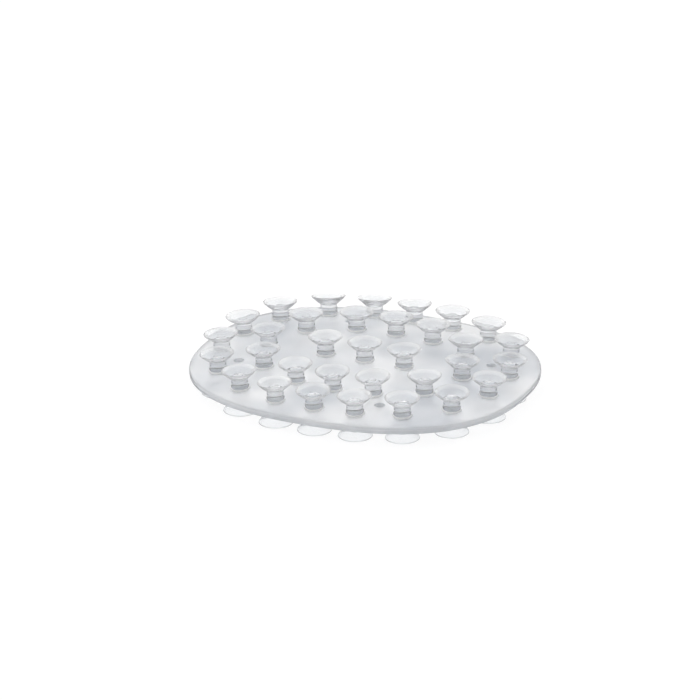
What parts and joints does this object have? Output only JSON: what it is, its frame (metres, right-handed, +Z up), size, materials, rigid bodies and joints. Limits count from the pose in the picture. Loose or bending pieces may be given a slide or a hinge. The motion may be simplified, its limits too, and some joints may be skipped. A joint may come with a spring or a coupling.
{
  "type": "suction cup soap dish",
  "caption": "Oval frosted pad carried on soft double-ended suction cups: the upper bells hold the soap clear of the wet pad and the lower bells grip the surface.",
  "frame": {"origin": "on the surface that the dish stands on, below the middle of the pad", "axes": "+X along the pad's length, +Y across it, +Z up towards the soap"},
  "size_m": [0.12, 0.1, 0.0162],
  "materials": {
    "pad": "frosted",
    "cup": "clear gloss"
  },
  "bodies": {
    "pad": {"pad": "pad"},
    "outer_cup_01": {"outer_cup_01": "cup"},
    "outer_cup_02": {"outer_cup_02": "cup"},
    "outer_cup_03": {"outer_cup_03": "cup"},
    "outer_cup_04": {"outer_cup_04": "cup"},
    "outer_cup_05": {"outer_cup_05": "cup"},
    "outer_cup_06": {"outer_cup_06": "cup"},
    "outer_cup_07": {"outer_cup_07": "cup"},
    "outer_cup_08": {"outer_cup_08": "cup"},
    "outer_cup_09": {"outer_cup_09": "cup"},
    "outer_cup_10": {"outer_cup_10": "cup"},
    "outer_cup_11": {"outer_cup_11": "cup"},
    "outer_cup_12": {"outer_cup_12": "cup"},
    "outer_cup_13": {"outer_cup_13": "cup"},
    "outer_cup_14": {"outer_cup_14": "cup"},
    "outer_cup_15": {"outer_cup_15": "cup"},
    "outer_cup_16": {"outer_cup_16": "cup"},
    "outer_cup_17": {"outer_cup_17": "cup"},
    "outer_cup_18": {"outer_cup_18": "cup"},
    "middle_cup_01": {"middle_cup_01": "cup"},
    "middle_cup_02": {"middle_cup_02": "cup"},
    "middle_cup_03": {"middle_cup_03": "cup"},
    "middle_cup_04": {"middle_cup_04": "cup"},
    "middle_cup_05": {"middle_cup_05": "cup"},
    "middle_cup_06": {"middle_cup_06": "cup"},
    "middle_cup_07": {"middle_cup_07": "cup"},
    "middle_cup_08": {"middle_cup_08": "cup"},
    "middle_cup_09": {"middle_cup_09": "cup"},
    "middle_cup_10": {"middle_cup_10": "cup"},
    "middle_cup_11": {"middle_cup_11": "cup"},
    "middle_cup_12": {"middle_cup_12": "cup"},
    "inner_cup_01": {"inner_cup_01": "cup"},
    "inner_cup_02": {"inner_cup_02": "cup"},
    "inner_cup_03": {"inner_cup_03": "cup"}
  },
  "joints": [
    {"name": "outer_cup_01_give", "type": "slide", "parent": "pad", "child": "outer_cup_01", "axis": [0, 0, 1], "range_m": [0, 0.0015], "stiffness_N_per_m": 600},
    {"name": "outer_cup_02_give", "type": "slide", "parent": "pad", "child": "outer_cup_02", "axis": [0, 0, 1], "range_m": [0, 0.0015], "stiffness_N_per_m": 600},
    {"name": "outer_cup_03_give", "type": "slide", "parent": "pad", "child": "outer_cup_03", "axis": [0, 0, 1], "range_m": [0, 0.0015], "stiffness_N_per_m": 600},
    {"name": "outer_cup_04_give", "type": "slide", "parent": "pad", "child": "outer_cup_04", "axis": [0, 0, 1], "range_m": [0, 0.0015], "stiffness_N_per_m": 600},
    {"name": "outer_cup_05_give", "type": "slide", "parent": "pad", "child": "outer_cup_05", "axis": [0, 0, 1], "range_m": [0, 0.0015], "stiffness_N_per_m": 600},
    {"name": "outer_cup_06_give", "type": "slide", "parent": "pad", "child": "outer_cup_06", "axis": [0, 0, 1], "range_m": [0, 0.0015], "stiffness_N_per_m": 600},
    {"name": "outer_cup_07_give", "type": "slide", "parent": "pad", "child": "outer_cup_07", "axis": [0, 0, 1], "range_m": [0, 0.0015], "stiffness_N_per_m": 600},
    {"name": "outer_cup_08_give", "type": "slide", "parent": "pad", "child": "outer_cup_08", "axis": [0, 0, 1], "range_m": [0, 0.0015], "stiffness_N_per_m": 600},
    {"name": "outer_cup_09_give", "type": "slide", "parent": "pad", "child": "outer_cup_09", "axis": [0, 0, 1], "range_m": [0, 0.0015], "stiffness_N_per_m": 600},
    {"name": "outer_cup_10_give", "type": "slide", "parent": "pad", "child": "outer_cup_10", "axis": [0, 0, 1], "range_m": [0, 0.0015], "stiffness_N_per_m": 600},
    {"name": "outer_cup_11_give", "type": "slide", "parent": "pad", "child": "outer_cup_11", "axis": [0, 0, 1], "range_m": [0, 0.0015], "stiffness_N_per_m": 600},
    {"name": "outer_cup_12_give", "type": "slide", "parent": "pad", "child": "outer_cup_12", "axis": [0, 0, 1], "range_m": [0, 0.0015], "stiffness_N_per_m": 600},
    {"name": "outer_cup_13_give", "type": "slide", "parent": "pad", "child": "outer_cup_13", "axis": [0, 0, 1], "range_m": [0, 0.0015], "stiffness_N_per_m": 600},
    {"name": "outer_cup_14_give", "type": "slide", "parent": "pad", "child": "outer_cup_14", "axis": [0, 0, 1], "range_m": [0, 0.0015], "stiffness_N_per_m": 600},
    {"name": "outer_cup_15_give", "type": "slide", "parent": "pad", "child": "outer_cup_15", "axis": [0, 0, 1], "range_m": [0, 0.0015], "stiffness_N_per_m": 600},
    {"name": "outer_cup_16_give", "type": "slide", "parent": "pad", "child": "outer_cup_16", "axis": [0, 0, 1], "range_m": [0, 0.0015], "stiffness_N_per_m": 600},
    {"name": "outer_cup_17_give", "type": "slide", "parent": "pad", "child": "outer_cup_17", "axis": [0, 0, 1], "range_m": [0, 0.0015], "stiffness_N_per_m": 600},
    {"name": "outer_cup_18_give", "type": "slide", "parent": "pad", "child": "outer_cup_18", "axis": [0, 0, 1], "range_m": [0, 0.0015], "stiffness_N_per_m": 600},
    {"name": "middle_cup_01_give", "type": "slide", "parent": "pad", "child": "middle_cup_01", "axis": [0, 0, 1], "range_m": [0, 0.0015], "stiffness_N_per_m": 600},
    {"name": "middle_cup_02_give", "type": "slide", "parent": "pad", "child": "middle_cup_02", "axis": [0, 0, 1], "range_m": [0, 0.0015], "stiffness_N_per_m": 600},
    {"name": "middle_cup_03_give", "type": "slide", "parent": "pad", "child": "middle_cup_03", "axis": [0, 0, 1], "range_m": [0, 0.0015], "stiffness_N_per_m": 600},
    {"name": "middle_cup_04_give", "type": "slide", "parent": "pad", "child": "middle_cup_04", "axis": [0, 0, 1], "range_m": [0, 0.0015], "stiffness_N_per_m": 600},
    {"name": "middle_cup_05_give", "type": "slide", "parent": "pad", "child": "middle_cup_05", "axis": [0, 0, 1], "range_m": [0, 0.0015], "stiffness_N_per_m": 600},
    {"name": "middle_cup_06_give", "type": "slide", "parent": "pad", "child": "middle_cup_06", "axis": [0, 0, 1], "range_m": [0, 0.0015], "stiffness_N_per_m": 600},
    {"name": "middle_cup_07_give", "type": "slide", "parent": "pad", "child": "middle_cup_07", "axis": [0, 0, 1], "range_m": [0, 0.0015], "stiffness_N_per_m": 600},
    {"name": "middle_cup_08_give", "type": "slide", "parent": "pad", "child": "middle_cup_08", "axis": [0, 0, 1], "range_m": [0, 0.0015], "stiffness_N_per_m": 600},
    {"name": "middle_cup_09_give", "type": "slide", "parent": "pad", "child": "middle_cup_09", "axis": [0, 0, 1], "range_m": [0, 0.0015], "stiffness_N_per_m": 600},
    {"name": "middle_cup_10_give", "type": "slide", "parent": "pad", "child": "middle_cup_10", "axis": [0, 0, 1], "range_m": [0, 0.0015], "stiffness_N_per_m": 600},
    {"name": "middle_cup_11_give", "type": "slide", "parent": "pad", "child": "middle_cup_11", "axis": [0, 0, 1], "range_m": [0, 0.0015], "stiffness_N_per_m": 600},
    {"name": "middle_cup_12_give", "type": "slide", "parent": "pad", "child": "middle_cup_12", "axis": [0, 0, 1], "range_m": [0, 0.0015], "stiffness_N_per_m": 600},
    {"name": "inner_cup_01_give", "type": "slide", "parent": "pad", "child": "inner_cup_01", "axis": [0, 0, 1], "range_m": [0, 0.0015], "stiffness_N_per_m": 600},
    {"name": "inner_cup_02_give", "type": "slide", "parent": "pad", "child": "inner_cup_02", "axis": [0, 0, 1], "range_m": [0, 0.0015], "stiffness_N_per_m": 600},
    {"name": "inner_cup_03_give", "type": "slide", "parent": "pad", "child": "inner_cup_03", "axis": [0, 0, 1], "range_m": [0, 0.0015], "stiffness_N_per_m": 600}
  ]
}
